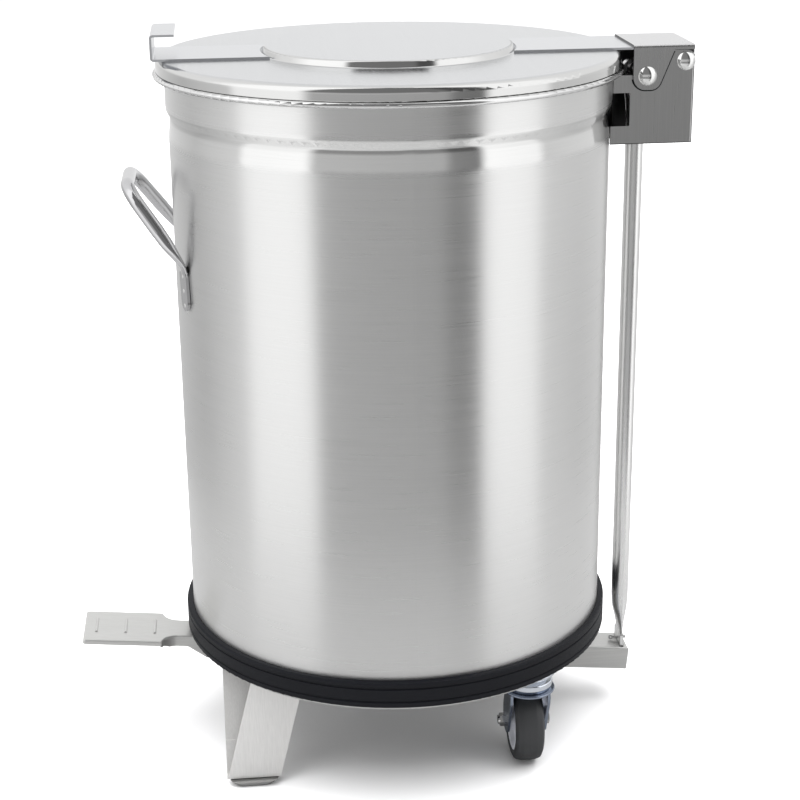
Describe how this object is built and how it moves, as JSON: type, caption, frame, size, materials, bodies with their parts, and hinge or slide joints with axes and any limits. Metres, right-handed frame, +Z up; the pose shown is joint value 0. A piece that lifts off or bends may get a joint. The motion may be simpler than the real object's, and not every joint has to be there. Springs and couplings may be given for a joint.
{
  "type": "pedal waste bin",
  "caption": "Cylindrical steel pedal bin with a flat hinged lid lifted by a push rod, a rubber bumper ring, a carry handle, fixed feet and swivel castors.",
  "frame": {"origin": "point on the floor under the drum's axis", "axes": "+Z up along the drum's axis, pedal and carry handle towards -Y, lid hinge towards +Y, +X to the right as seen from the pedal side"},
  "size_m": [0.4026, 0.5526, 0.6504],
  "materials": {
    "drum_steel": "fine brushed, soft gloss",
    "lid_steel": "satin with polished edge",
    "housing_steel": "brushed",
    "lever_steel": "satin",
    "rod_steel": "satin",
    "foot_steel": "satin",
    "base_steel": "satin",
    "polished_steel": "polished",
    "fastener_steel": "polished",
    "zinc_plate": "bright zinc plate",
    "black_rubber": "matte",
    "grey_tyre": "matte",
    "pale_plastic": "matte"
  },
  "bodies": {
    "bin": {"body_shell": "drum_steel", "rim_bead": "drum_steel", "base_plate": "base_steel", "bumper_ring": "black_rubber", "carry_handle": "polished_steel", "hinge_housing": "housing_steel", "housing_mount_plate": "housing_steel", "mount_rivets": "fastener_steel", "base_rivets": "fastener_steel", "hinge_bolt": "fastener_steel", "hinge_nut": "fastener_steel", "pivot_bracket": "base_steel", "pivot_pin": "fastener_steel", "castor_nuts": "fastener_steel", "foot_left": "foot_steel", "glide_left": "polished_steel", "castor_mount_left": "zinc_plate", "foot_right": "foot_steel", "glide_right": "polished_steel", "castor_mount_right": "zinc_plate"},
    "lid": {"lid_pan": "lid_steel", "front_strap": "lid_steel", "rear_strap": "lid_steel", "hinge_cover": "housing_steel", "hinge_arm": "housing_steel", "hinge_sleeve": "fastener_steel", "lift_bolt": "fastener_steel", "lift_nut": "fastener_steel", "lift_spacers": "fastener_steel", "lid_buffers": "black_rubber"},
    "pedal_lever": {"pedal_lever": "lever_steel", "pivot_bush": "pale_plastic"},
    "push_rod": {"push_rod": "rod_steel", "rod_split_pins": "fastener_steel"},
    "castor_left": {"castor_fork_left": "zinc_plate", "castor_axle_left": "fastener_steel"},
    "wheel_left": {"wheel_hub_left": "pale_plastic", "tyre_left": "grey_tyre"},
    "castor_right": {"castor_fork_right": "zinc_plate", "castor_axle_right": "fastener_steel"},
    "wheel_right": {"wheel_hub_right": "pale_plastic", "tyre_right": "grey_tyre"}
  },
  "joints": [
    {"name": "lid_hinge", "type": "hinge", "parent": "bin", "child": "lid", "pos_m": [0, 0.2512, 0.6177], "axis": [-1, 0, 0], "range_deg": [0, 70]},
    {"name": "pedal_pivot", "type": "hinge", "parent": "bin", "child": "pedal_lever", "pos_m": [0, 0, 0.064], "axis": [1, 0, 0], "range_deg": [0, 10.5]},
    {"name": "rod_pivot", "type": "hinge", "parent": "pedal_lever", "child": "push_rod", "pos_m": [0, 0.2175, 0.053], "axis": [1, 0, 0], "range_deg": [-11.5, 0]},
    {"name": "castor_swivel_left", "type": "hinge", "parent": "bin", "child": "castor_left", "pos_m": [-0.127, 0.106, 0.08], "axis": [0, 0, 1], "continuous": true},
    {"name": "wheel_spin_left", "type": "hinge", "parent": "castor_left", "child": "wheel_left", "pos_m": [-0.11, 0.106, 0.0375], "axis": [0, 1, 0], "continuous": true},
    {"name": "castor_swivel_right", "type": "hinge", "parent": "bin", "child": "castor_right", "pos_m": [0.127, 0.106, 0.08], "axis": [0, 0, 1], "continuous": true},
    {"name": "wheel_spin_right", "type": "hinge", "parent": "castor_right", "child": "wheel_right", "pos_m": [0.11, 0.106, 0.0375], "axis": [0, 1, 0], "continuous": true}
  ],
  "couplings": [
    {"joint": "pedal_pivot", "follows": "lid_hinge", "ratio": 0.14736},
    {"joint": "rod_pivot", "follows": "lid_hinge", "ratio": -0.15973}
  ]
}
